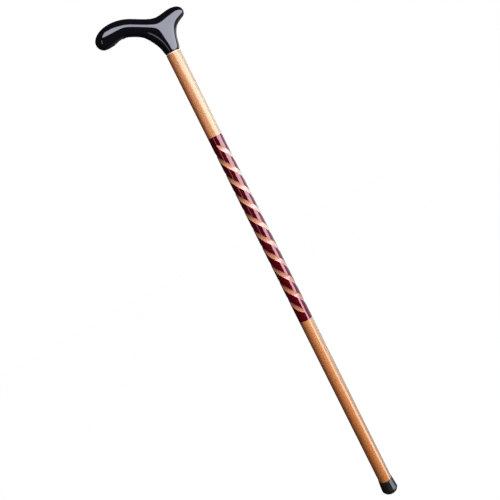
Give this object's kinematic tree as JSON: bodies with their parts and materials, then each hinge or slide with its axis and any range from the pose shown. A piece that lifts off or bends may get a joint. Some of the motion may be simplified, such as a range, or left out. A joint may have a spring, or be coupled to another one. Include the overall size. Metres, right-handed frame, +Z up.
{
  "type": "derby cane",
  "caption": "Walking cane with a gloss derby handle, a round wooden shaft carved with a spiral in its lacquered middle band, and a faceted rubber ferrule.",
  "frame": {"origin": "centre of the ferrule's flat sole, on the shaft's axis", "axes": "+Z up the shaft towards the handle, -X towards the palm end of the handle, +X towards its nose, Y across the handle"},
  "size_m": [0.1455, 0.0284, 0.9146],
  "materials": {
    "gloss_black": "polished, mirror gloss",
    "beech": "clear satin lacquer over beech, maroon gloss lacquer on the carved band",
    "black_rubber": "moulded, matte",
    "zinc_plated_steel": "zinc plated"
  },
  "bodies": {
    "cane": {"handle": "gloss_black", "joining_stud": "zinc_plated_steel", "shaft": "beech"},
    "ferrule": {"ferrule": "black_rubber", "ferrule_disc": "zinc_plated_steel"}
  },
  "joints": [
    {"name": "ferrule_pull", "type": "slide", "parent": "cane", "child": "ferrule", "axis": [0, 0, -1], "range_m": [0, 0.04]}
  ]
}
